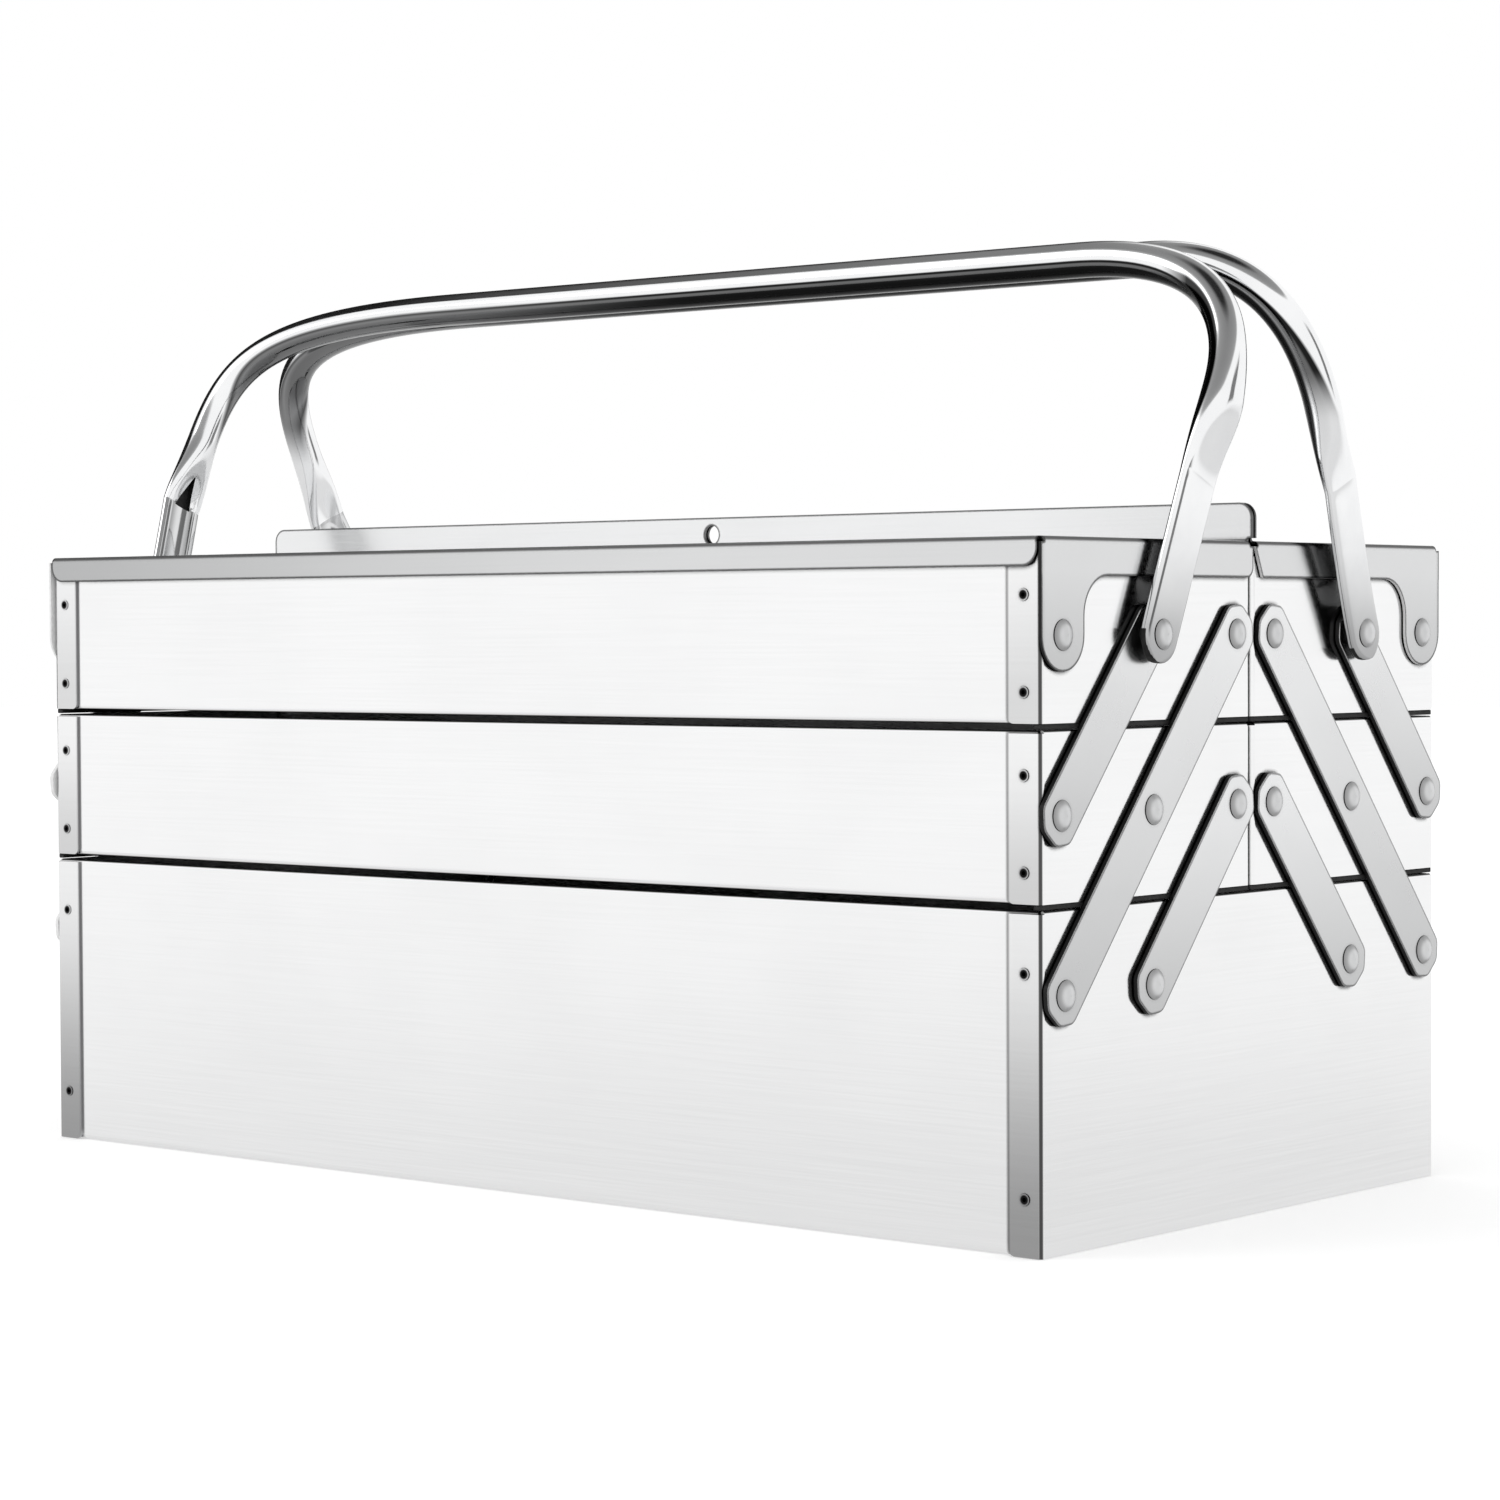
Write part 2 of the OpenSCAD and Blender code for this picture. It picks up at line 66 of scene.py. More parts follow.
# Straps: inner and outer face measured from the end panel, width, and length above the pivot.
STRAP_IN, STRAP_OUT, STRAP_W, STRAP_L = 3.3, 6.1, 16.0, 47.0
# Handles: the tube's radius, the reach from pivot to grip, the pivot's place and the grip's.
TUBE_R, HANDLE_REACH, HANDLE_Y, HANDLE_Z, GRIP_Y = 5.25, 119.2, 53.1, 166.4, 5.55


# ---- Forms that only the scene has ----

# Length over which the strap opens out into the tube.
OPENING_L = 27.0
# Each bent corner's curve: (x, t) of its foot, of the two points that pull it, and of its end on the grip.
# t runs from the pivot towards the grip.
CORNERS = {
    ("front", "right"): ((206.9, 47.0), (210.3, 77.5), (214.2, 119.2), (146.7, 119.2)),
    ("back", "right"): ((208.5, 47.0), (210.8, 66.0), (220.4, 119.2), (162.2, 119.2)),
    ("front", "left"): ((209.7, 47.0), (209.2, 94.0), (229.9, 119.2), (109.9, 119.2)),
    ("back", "left"): ((207.9, 47.0), (208.7, 91.8), (235.0, 119.2), (110.2, 119.2)),
}
# How far the top of a strap leans out from its pivot.
STRAP_TILT = {("front", "right"): 0.0, ("back", "right"): 3.8, ("front", "left"): 3.0, ("back", "left"): 2.2}
# How far the top of a strap stands nearer to the front than its handle's own plane.
STRAP_TURN = {"right": 0.0, "left": 5.2}
# Depth of the hollow in a strap's inner face, and the heights between which it sets in.
TROUGH, TROUGH_FROM = 1.1, (9.0, 21.0)
# Shadow strips, dark pieces that paint the shade in the gaps between the tiers: set in from the tray's edges,
# width and height.
SHADOW_STRIP_IN, SHADOW_STRIP_W, SHADOW_STRIP_H = 0.5, 2.4, 1.5


# ---- Looks ----

SHEET = (0.955, 0.957, 0.96)
DULL_SHEET = (0.84, 0.845, 0.85)
INSIDE = (0.60, 0.60, 0.61)
RIVET = (0.80, 0.805, 0.81)
PLATING, DULL_PLATING = (0.93, 0.935, 0.94, 1), (0.88, 0.885, 0.895, 1)
# Grey of the painted shade on the rims and under the trays.
GAP_SHADE = 0.008
# Grain in features per metre along X, Y and Z: rolled walls, lids and links, and turned rivets.
ROLLED, LID_GRAIN, LINK_GRAIN = (18.0, 18.0, 1400.0), (18.0, 900.0, 1400.0), (900.0, 120.0, 120.0)
RIVET_GRAIN, DOT_GRAIN = (500.0, 500.0, 500.0), (300.0, 300.0, 300.0)
SMEARS, SLOW_WAVES, SPECKS = (14.0, 14.0, 22.0), (5.0, 5.0, 9.0), (900.0, 900.0, 900.0)
POLISH_MARKS, PLATING_SMEARS = (260.0, 1500.0, 1500.0), (35.0, 60.0, 60.0)
# How deep the sheet's grain and the plating's marks are, and how far the painted crevice shade and the
# painted edge lines reach.
GRAIN_DEPTH, MARK_DEPTH = 0.004, 0.0015
SHEET_SHADE_REACH, PLATING_SHADE_REACH, EDGE_LINE = 1.6, 1.2, 0.75
# Painted shade on each tier's flanges: their brightness at their upper and their lower end.
FLANGE_LEVELS = {"base": (0.94, 0.40), "mid": (0.98, 0.70), "top": (0.96, 0.76)}
# What metal sees, as (place, grey): the sky from level to overhead, the dark screen from its foot up, and the
# floor from straight above to flat along it.
SKY = [(0.0, 1.0), (0.69, 1.0), (0.74, 0.36), (0.80, 0.30), (0.92, 0.24), (0.98, 0.02)]
SCREEN = [(0.0, 0.008), (0.45, 0.01), (0.60, 0.10), (0.72, 0.22)]
FLOOR = [(0.0, 0.66), (0.50, 0.72), (0.62, 0.80), (0.86, 0.78), (0.90, 0.95), (0.94, 1.0)]
# Painted reflection on the tube: its brightness from its lowest line (0) to its highest (1), at the right and
# at the left.
TUBE_RIGHT = [
    (0.0, 0.006), (0.28, 0.01), (0.31, 0.20), (0.36, 0.20), (0.385, 0.02), (0.43, 0.02), (0.46, 1.0),
]
TUBE_LEFT = [(0.0, 0.26), (0.24, 0.22), (0.34, 0.30), (0.41, 0.10), (0.46, 0.5), (0.49, 1.0)]
# Painted shade on the straps: their brightness from their foot up.
STRAP_FOOT = [(0.0, 0.42), (0.17, 0.53), (0.33, 0.74), (0.5, 0.93), (0.7, 1.0)]


# ---- Camera ----

# The photograph's view point, solved from the box's straight edges and rivets. Angles are in radians and the
# focal length in the photograph's own pixels.
EYE = (804.2, -932.5, 168.6)
YAW, PITCH, ROLL = 0.7026, -0.0316, -0.0043
FOCAL_PX, PHOTO_PX = 3858.1, 1500
SENSOR_W = 36


def make_camera():
    ahead = Vector((-math.sin(YAW) * math.cos(PITCH), math.cos(YAW) * math.cos(PITCH), math.sin(PITCH)))
    level = Vector((math.cos(YAW), math.sin(YAW), 0))
    upright = level.cross(ahead)
    right = math.cos(ROLL) * level + math.sin(ROLL) * upright
    up = -math.sin(ROLL) * level + math.cos(ROLL) * upright
    data = bpy.data.cameras.new("camera")
    data.sensor_fit = "HORIZONTAL"
    data.sensor_width = SENSOR_W
    data.lens = SENSOR_W * FOCAL_PX / PHOTO_PX
    data.clip_start, data.clip_end = 0.02, 50
    camera = bpy.data.objects.new("camera", data)
    SCENE.collection.objects.link(camera)
    turn = Matrix((right, up, -ahead)).transposed()
    camera.matrix_world = Matrix.Translation(Vector(EYE) * MM) @ turn.to_4x4()
    SCENE.camera = camera


# ---- Node helpers ----


class Tree:
    """A short way to add nodes to a material's or world's tree and to link them."""

    def __init__(self, tree):
        self.tree = tree
        tree.nodes.clear()

    def set_input(self, socket, value):
        if isinstance(value, bpy.types.NodeSocket):
            self.tree.links.new(value, socket)
        else:
            socket.default_value = value

    def add(self, kind, values=None, **settings):
        node = self.tree.nodes.new(kind)
        for key, value in settings.items():
            setattr(node, key, value)
        for key, value in (values or {}).items():
            self.set_input(node.inputs[key], value)
        return node

    def math(self, operation, a, b=0.0):
        return self.add("ShaderNodeMath", {0: a, 1: b}, operation=operation).outputs[0]

    def times(self, first, *others):
        for other in others:
            first = self.math("MULTIPLY", first, other)
        return first

    def size(self, value):
        return self.math("ABSOLUTE", value)

    def ramp(self, value, stops):
        node = self.add("ShaderNodeValToRGB", {"Fac": value})
        elements = node.color_ramp.elements
        while len(elements) < len(stops):
            elements.new(0.5)
        for element, (place, level) in zip(elements, stops):
            element.position = place
            element.color = grey(level)
        return node.outputs["Color"]

    def span(self, value, low, high, out_low=0.0, out_high=1.0, smooth=False):
        """out_low at low, out_high at high, and a straight or smooth change between them."""
        node = self.add(
            "ShaderNodeMapRange",
            {"Value": value, "From Min": low, "From Max": high, "To Min": out_low, "To Max": out_high},
        )
        if smooth:
            node.interpolation_type = "SMOOTHSTEP"
        return node.outputs["Result"]

    def band(self, value, low, high, *out, smooth=False):
        """The same for a place, with low and high in millimetres."""
        return self.span(value, low * MM, high * MM, *out, smooth=smooth)

    def mix(self, factor, a, b, blend="MIX"):
        node = self.add("ShaderNodeMix", data_type="RGBA", blend_type=blend)
        for name, value in (("Factor_Float", factor), ("A_Color", a), ("B_Color", b)):
            self.set_input(next(s for s in node.inputs if s.identifier == name), value)
        return next(s for s in node.outputs if s.identifier == "Result_Color")

    def switch(self, factor, a, b):
        return self.add("ShaderNodeMixShader", {0: factor, 1: a, 2: b}).outputs[0]

    def split(self, vector):
        return self.add("ShaderNodeSeparateXYZ", {0: vector}).outputs

    def normal(self):
        """The three parts of the surface's own normal."""
        return self.split(self.add("ShaderNodeNewGeometry").outputs["Normal"])

    def occlusion(self, reach, inside=False):
        """How open a point is within reach millimetres, towards the outside or through the solid."""
        values = {"Distance": reach * MM}
        return self.add("ShaderNodeAmbientOcclusion", values, samples=6, inside=inside).outputs["AO"]

    def bump(self, height, distance, **values):
        """A normal that follows height, up to distance millimetres deep."""
        values.update({"Height": height, "Distance": distance * MM, "Strength": 1.0})
        return self.add("ShaderNodeBump", values).outputs[0]

    def surface(self, tone, metal, rough, normal):
        values = {"Base Color": tone, "Metallic": metal, "Roughness": rough, "Normal": normal}
        shader = self.add("ShaderNodeBsdfPrincipled", values)
        self.add("ShaderNodeOutputMaterial", {"Surface": shader.outputs[0]})


def grey(value):
    return (value, value, value, 1)


def new_material(name):
    material = bpy.data.materials.new(name)
    material.use_nodes = True
    return material, Tree(material.node_tree)


# ---- World, lamp and floor ----


def make_world():
    """A white studio. Metal also sees a grey ceiling, darkest overhead, and a dark screen on the far left."""
    world = bpy.data.worlds.new("studio")
    world.use_nodes = True
    SCENE.world = world
    t = Tree(world.node_tree)
    path = t.add("ShaderNodeLightPath").outputs
    x, y, z = t.split(t.add("ShaderNodeTexCoord").outputs["Generated"])
    ceiling = t.ramp(z, SKY)
    # The screen reaches from the left round to the back left; it is greyer high up.
    left = t.times(t.span(x, -0.78, -0.86, smooth=True), t.span(y, -0.42, -0.34, smooth=True))
    behind = t.times(t.span(x, -0.42, -0.58, smooth=True), t.span(y, -0.34, -0.26, smooth=True))
    screen = t.math("MAXIMUM", left, behind)
    level = t.mix(t.span(x, -0.60, -0.72), t.ramp(z, SCREEN), grey(0.01))
    seen = t.mix(screen, ceiling, level)
    # A thin dark strip stands to the right.
    turn = t.math("ARCTAN2", y, x)
    wide = t.times(t.span(turn, 0.42, 0.47, smooth=True), t.span(turn, 0.78, 0.73, smooth=True))
    high = t.times(t.span(z, 0.0, 0.08), t.span(z, 0.5, 0.4))
    seen = t.mix(t.times(t.times(wide, high), 0.85), seen, grey(0.06))
    shiny, soft, white = [
        t.add("ShaderNodeBackground", {"Color": colour, "Strength": 1.0}).outputs[0]
        for colour in (seen, grey(0.95), grey(1.0))
    ]
    body = t.switch(path["Is Glossy Ray"], soft, shiny)
    view = t.switch(path["Is Camera Ray"], body, white)
    t.add("ShaderNodeOutputWorld", {"Surface": view})


def make_lamp(name, place, aim, size, watts):
    data = bpy.data.lights.new(name, "AREA")
    data.shape = "RECTANGLE"
    data.size, data.size_y = size
    data.energy = watts
    lamp = bpy.data.objects.new(name, data)
    SCENE.collection.objects.link(lamp)
    lamp.location = place
    lamp.rotation_euler = (Vector(aim) - Vector(place)).to_track_quat("-Z", "Y").to_euler()


def make_floor():
    """White paper just under the box. It glows a little for the camera, and metal sees FLOOR's greys."""
    mesh = bpy.data.meshes.new("floor")
    half, drop = 6.0, 0.0002
    corners = [(-half, -half, 0), (half, -half, 0), (half, half, 0), (-half, half, 0)]
    mesh.from_pydata(corners, [], [(0, 1, 2, 3)])
    floor = new_object("floor", mesh)
    floor.location.z = -drop
    material, t = new_material("floor_white")
    path = t.add("ShaderNodeLightPath").outputs
    paper = t.add("ShaderNodeBsdfDiffuse", {"Color": grey(0.80)}).outputs[0]
    glow = t.add("ShaderNodeEmission", {"Color": grey(1.0), "Strength": 0.34}).outputs[0]
    lit = t.add("ShaderNodeAddShader", {0: paper, 1: glow}).outputs[0]
    facing = t.add("ShaderNodeLayerWeight", {"Blend": 0.5}).outputs["Facing"]
    mirrored = t.add("ShaderNodeEmission", {"Color": t.ramp(facing, FLOOR), "Strength": 1.0}).outputs[0]
    plain = t.switch(path["Is Camera Ray"], paper, lit)
    t.add("ShaderNodeOutputMaterial", {"Surface": t.switch(path["Is Glossy Ray"], plain, mirrored)})
    mesh.materials.append(material)


# ---- Materials ----


def object_place(t):
    """A point's place on the object, whole and as x, y and z."""
    place = t.add("ShaderNodeTexCoord").outputs["Object"]
    return place, t.split(place)


def stretched_noise(t, place, scale, detail):
    """Noise with scale features per metre along each axis."""
    stretched = t.add("ShaderNodeMapping", {"Vector": place, "Scale": scale}).outputs[0]
    values = {"Vector": stretched, "Scale": 1.0, "Detail": detail, "Roughness": 0.55}
    return t.add("ShaderNodeTexNoise", values).outputs["Fac"]


def scaled(t, tone, level):
    """A colour times a grey level that is the output of another node."""
    factor = t.add("ShaderNodeCombineColor", {0: level, 1: level, 2: level}).outputs[0]
    return t.mix(1.0, tone, factor, "MULTIPLY")


def crevice(t, tone, reach, depth):
    """Painted shade where another piece stands on the surface or beside it, out to reach millimetres.

    There is less of it at the left end, and none along the floor.
    """
    open_sky = t.occlusion(reach)
    painted_shade = t.span(open_sky, 0.92, 0.62, 0.0, depth, smooth=True)
    x, _, z = object_place(t)[1]
    painted_shade = t.times(painted_shade, t.band(x, -190, -182, 0.45, 1.0), t.band(z, 1.5, 3.5))
    return t.mix(painted_shade, tone, grey(0.012))


def outline(t, tone, reach, depth):
    """Painted shade: a dark line along the edges of a thin sheet, reach millimetres wide."""
    edge_shade = t.span(t.occlusion(reach, inside=True), 0.97, 0.80, 0.0, depth, smooth=True)
    return t.mix(edge_shade, tone, grey(0.02))


def upright_normal(t):
    """The surface's own normal with its upward part taken out, so that the small bends read as flat."""
    x, y, z = t.normal()
    kept = t.times(z, t.span(t.size(z), 0.90, 0.97, 0.12, 1.0))
    level = t.add("ShaderNodeCombineXYZ", {0: x, 1: y, 2: kept}).outputs[0]
    return t.add("ShaderNodeVectorMath", {0: level}, operation="NORMALIZE").outputs[0]


def steel(name, colour, roughness, grain, shade=None, waviness=0.25, edges=0.0, metal=1.0):
    """Stainless sheet: rolling grain, faint smears and slow waves, waviness millimetres deep.

    shade paints light and shade into parts of the sheet, crevices get painted shade, and edges is how dark
    the painted shade line along its edges gets.
    """
    material, t = new_material(name)
    place, xyz = object_place(t)
    fine = stretched_noise(t, place, grain, 4.0)
    smear = stretched_noise(t, place, SMEARS, 3.0)
    slow = stretched_noise(t, place, SLOW_WAVES, 1.0)
    tone = t.mix(t.span(fine, 0.3, 0.7), (*[c * 0.97 for c in colour], 1), (*colour, 1))
    tone = t.mix(t.span(smear, 0.35, 0.75, 0.0, 0.05), tone, grey(0.45))
    if shade:
        tone = shade(t, xyz, tone)
    tone = crevice(t, tone, SHEET_SHADE_REACH, 0.9)
    if edges:
        tone = outline(t, tone, EDGE_LINE, edges)
    rough = t.span(fine, 0.25, 0.75, roughness * 0.85, roughness * 1.15)
    rough = t.math("ADD", rough, t.span(smear, 0.45, 0.8, 0.0, roughness * 0.3))
    wave = t.bump(slow, waviness, Normal=upright_normal(t))
    t.surface(tone, metal, rough, t.bump(fine, GRAIN_DEPTH, Normal=wave))
    return material


def dark_edge(name, level, roughness, metal=0.6, spread=0.3, relief=0.04):
    """Painted shade or painted light for narrow edges, hollows and gaps, with specks of up to spread, relief
    millimetres deep.
    """
    material, t = new_material(name)
    speck = stretched_noise(t, object_place(t)[0], SPECKS, 3.0)
    tone = t.mix(t.span(speck, 0.35, 0.7), grey(level * (1 - spread)), grey(level * (1 + spread)))
    t.surface(tone, metal, roughness, t.bump(speck, relief))
    return material


def chrome(name, shade):
    """Bright plating with faint polishing marks round the tube and a few dull smears. shade paints shade and
    reflections into it, and crevices get painted shade.
    """
    material, t = new_material(name)
    place, xyz = object_place(t)
    marks = stretched_noise(t, place, POLISH_MARKS, 3.0)
    smear = stretched_noise(t, place, PLATING_SMEARS, 4.0)
    tone = t.mix(t.span(smear, 0.4, 0.7), PLATING, DULL_PLATING)
    tone = crevice(t, shade(t, xyz, tone), PLATING_SHADE_REACH, 0.7)
    rough = t.math("ADD", t.span(smear, 0.35, 0.75, 0.06, 0.12), t.span(marks, 0.3, 0.7, 0.0, 0.02))
    t.surface(tone, 1.0, rough, t.bump(marks, MARK_DEPTH))
    return material


# ---- Shades: painted light and shade, how the tone changes over a piece from the place on it and its normal ----


def seam_shade(t, xyz, tone):
    """Painted shade: a dark line beside the end panels' flange edges where they lie on a wall, and painted
    shade on the rims and under the trays that keeps the gaps dark.
    """
    x, _, z = xyz
    off = t.math("SUBTRACT", (END_X - FLANGE_W) * MM, t.size(x))
    near = t.times(t.band(off, 0.6, 1.4, 0.55, 0.0, smooth=True), t.band(x, -100, 100, 0.4, 1.0))
    tone = t.mix(near, tone, grey(0.08))
    up = t.normal()[2]
    below = t.times(t.span(up, -0.76, -0.92), t.band(z, 4, 5))
    rim_and_under_shade = t.math("MAXIMUM", t.span(up, 0.3, 0.6), below)
    return t.mix(rim_and_under_shade, tone, grey(GAP_SHADE))


def flange_level(t, z, tier):
    """The flanges' painted shade at height z: darker towards their lower end."""
    top, bottom = FLANGE_LEVELS[tier]
    return t.band(z, *TIERS[tier], bottom, top, smooth=True)


def flange_shade(tier):
    """The bent flanges get painted shade, darker than the flat of an end panel.

    Their free edge and the bend itself are painted as dark shade lines, fainter at the left, and the rim gets
    painted shade.
    """

    def shade(t, xyz, tone):
        x, y, z = xyz
        along = t.size(x)
        flange = t.band(along, END_X - 0.7, END_X - 1.1)
        tone = t.mix(flange, tone, scaled(t, tone, flange_level(t, z, tier)))
        edge = t.band(along, 191.8, 191.1, smooth=True)
        tone = t.mix(t.times(edge, t.band(x, -100, 100, 0.2, 0.6)), tone, grey(0.10))
        nx, ny, nz = t.normal()
        bend = t.span(t.size(t.times(nx, ny)), 0.30, 0.47, 0.0, 0.95, smooth=True)
        bend = t.times(bend, t.band(t.size(y), 10, 20), t.band(x, -200, 200, 0.15, 1.0))
        tone = t.mix(bend, tone, grey(0.04))
        return t.mix(t.span(nz, 0.3, 0.6), tone, grey(GAP_SHADE))

    return shade


def rivet_rows(tier):
    """Heights of a tier's two corner rivets."""
    kind = 0 if tier == "base" else 1
    low, high = TIERS[tier]
    return low + RIVET_UP[kind], high - RIVET_DOWN[kind]


def dot_shade(tier):
    """Corner rivets take the flange's painted shade, and each gets a painted dark dot of shade for its bore.
    """

    def shade(t, xyz, tone):
        x, _, z = xyz
        tone = scaled(t, tone, flange_level(t, z, tier))
        off = t.math("SUBTRACT", t.size(x), (END_X - FLANGE_W / 2) * MM)
        far = t.math("MINIMUM", *[t.size(t.math("SUBTRACT", z, row * MM)) for row in rivet_rows(tier)])
        far = t.math("SQRT", t.math("ADD", t.times(off, off), t.times(far, far)))
        return t.mix(t.band(far, 1.10, 1.65), grey(0.010), tone)

    return shade


def lid_shade(t, xyz, tone):
    """Lids get painted shade, darker towards the left of their front lips and towards the foot of their ears.

    Their bends are painted dark shade lines, and the upright ridge gets darker towards the right.
    """
    x, y, z = xyz
    lip = t.band(t.size(y), 101.2, 102.2)
    tone = t.mix(lip, tone, scaled(t, tone, t.band(x, -210, 80, 0.60, 0.87, smooth=True)))
    ear = t.band(t.size(x), 202.1, 202.3)
    tone = t.mix(ear, tone, scaled(t, tone, t.band(z, 156, 184, 0.70, 0.88)))
    ridge = t.band(z, 191.5, 192.5)
    tone = t.mix(ridge, tone, scaled(t, tone, t.band(x, 120, 190, 1.04, 0.92)))
    up = t.normal()[2]
    bend = t.times(t.span(up, 0.15, 0.50), t.span(up, 0.985, 0.93))
    return t.mix(t.times(bend, 0.85), tone, grey(0.03))


def link_shade(kind):
    """Links get painted shade, brighter at their upper ends."""
    _, low, spans = LINKS[kind]
    high = low + spans * LINK_RISE

    def shade(t, xyz, tone):
        return scaled(t, tone, t.band(xyz[2], low - 6, high + 2, 0.74, 1.06))

    return shade


def rivet_shade(t, xyz, tone):
    """Rivet domes get painted shade round their rims, so their tops read brighter."""
    rim = t.span(t.size(t.normal()[0]), 0.95, 0.80, 0.0, 0.65, smooth=True)
    return t.mix(rim, tone, grey(0.16))


def tube_shade(t, xyz, tone):
    """The tube gets a painted dark reflection on its underside, and the straps get painted shade towards
    their ends.
    """
    x, _, z = xyz
    nx, ny, nz = t.normal()
    level = t.span(nz, -1.0, 1.0)
    dark, pale = t.ramp(level, TUBE_RIGHT), t.ramp(level, TUBE_LEFT)
    under = t.mix(t.band(x, -150, 0, smooth=True), pale, dark)
    tone = t.mix(t.band(z, 226, 242, smooth=True), tone, t.mix(1.0, tone, under, "MULTIPLY"))
    # The painted dark reflection runs on down the inner front side of the right legs.
    dark_reflection = t.times(t.span(nx, 0.04, -0.14, smooth=True), t.span(ny, -0.35, -0.55, smooth=True))
    dark_reflection = t.times(dark_reflection, t.band(x, 180, 190), t.band(z, 204, 214, smooth=True), 0.96)
    tone = t.mix(dark_reflection, tone, grey(0.01))
    return t.mix(1.0, tone, t.ramp(t.band(z, 155, 225), STRAP_FOOT), "MULTIPLY")


def strap_inside_shade(t, xyz, tone):
    """Painted shade on the straps' inner faces, darker at the trough's edges and much darker at the right
    end.
    """
    _, ny, nz = t.normal()
    across = t.size(t.math("SUBTRACT", ny, t.times(nz, 0.4)))
    tone = scaled(t, tone, t.span(across, 0.05, 0.45, 1.0, 0.35, smooth=True))
    return scaled(t, tone, t.band(xyz[0], -200, 200, 0.80, 0.05))


# ---- Putting materials on the model's own nodes ----


def dress(node, *materials, pick=None):
    """Puts materials on a CAD node. pick gives the slot for each face, from its centre and normal."""
    o = NODES[node]
    o.data.materials.clear()
    for material in materials:
        o.data.materials.append(material)
    for face in o.data.polygons:
        face.material_index = pick(face.center, face.normal) if pick else 0


def inside_of(node):
    """Slot 1 for faces that look into a pan, 0 for the rest."""
    corners = [Vector(c) for c in NODES[node].bound_box]
    middle = sum(corners, Vector()) / 8

    def pick(centre, normal):
        return 1 if normal.dot(middle - centre) > 0.002 else 0

    return pick


def lid_slot(centre, normal):
    """A lid's slots: 0 its faces, 1 painted-shade and 2 painted-light narrow edges of its end flanges, 3 its
    top.

    Only the front lid's right flange has the painted dark edges. The inner faces of the left flanges are
    painted pale.
    """
    if normal.z > 0.98:
        return 3
    on_end = abs(centre.x) > (END_X + 0.25) * MM and centre.z < 191.2 * MM
    if on_end and centre.x < 0 and normal.x > 0.5:
        return 2
    if not on_end or abs(normal.x) > 0.3:
        return 0
    return 1 if centre.x > 0 and centre.y < 0 else 2


# ---- Mesh helpers ----


def new_object(name, mesh):
    o = bpy.data.objects.new(name, mesh)
    SCENE.collection.objects.link(o)
    return o


def activate(o):
    bpy.ops.object.select_all(action="DESELECT")
    o.select_set(True)
    bpy.context.view_layer.objects.active = o


def apply_modifiers(o):
    activate(o)
    for modifier in list(o.modifiers):
        bpy.ops.object.modifier_apply(modifier=modifier.name)


def smooth(o, angle):
    """Shades o smoothly across edges that turn less than angle degrees."""
    activate(o)
    bpy.ops.object.shade_smooth_by_angle(angle=math.radians(angle))


def circle_points(centre, r, count):
    angles = [2 * math.pi * k / count for k in range(count)]
    return [(centre[0] + r * math.cos(a), centre[1] + r * math.sin(a)) for a in angles]


def rounded_polygon(corners, r, steps=4):
    """Corners cut back by r and joined by short curves."""
    points = []
    count = len(corners)
    for k, corner in enumerate(corners):
        here = Vector(corner)
        before = (Vector(corners[k - 1]) - here).normalized() * r
        after = (Vector(corners[(k + 1) % count]) - here).normalized() * r
        for i in range(steps + 1):
            s = i / steps
            points.append(tuple(here + before * (1 - s) ** 2 + after * s**2))
    return points


def object_from(name, bm):
    bmesh.ops.recalc_face_normals(bm, faces=list(bm.faces))
    mesh = bpy.data.meshes.new(name)
    bm.to_mesh(mesh)
    bm.free()
    return new_object(name, mesh)


def plate(name, rim, holes, thickness):
    """A flat plate drawn in (u, v) and thick along w: vertices are (w, u, v) in millimetres."""
    bm = bmesh.new()
    edges = []
    for loop in [rim] + holes:
        verts = [bm.verts.new((0, u, v)) for u, v in loop]
        edges += [bm.edges.new((verts[k], verts[(k + 1) % len(verts)])) for k in range(len(verts))]
    bmesh.ops.triangle_fill(bm, use_beauty=True, use_dissolve=True, edges=edges)
    made = bmesh.ops.extrude_face_region(bm, geom=list(bm.faces))
    far = [v for v in made["geom"] if isinstance(v, bmesh.types.BMVert)]
    bmesh.ops.translate(bm, verts=far, vec=(thickness, 0, 0))
    return object_from(name, bm)


def loft(name, rings):
    """A skin over rings of points that have one count, closed by a face at both ends."""
    bm = bmesh.new()
    loops = [[bm.verts.new(p) for p in ring] for ring in rings]
    count = len(loops[0])
    for low, high in zip(loops, loops[1:]):
        for k in range(count):
            bm.faces.new((low[k], low[(k + 1) % count], high[(k + 1) % count], high[k]))
    bm.faces.new(loops[0][::-1])
    bm.faces.new(loops[-1])
    return object_from(name, bm)


# ---- Shadow strips ----


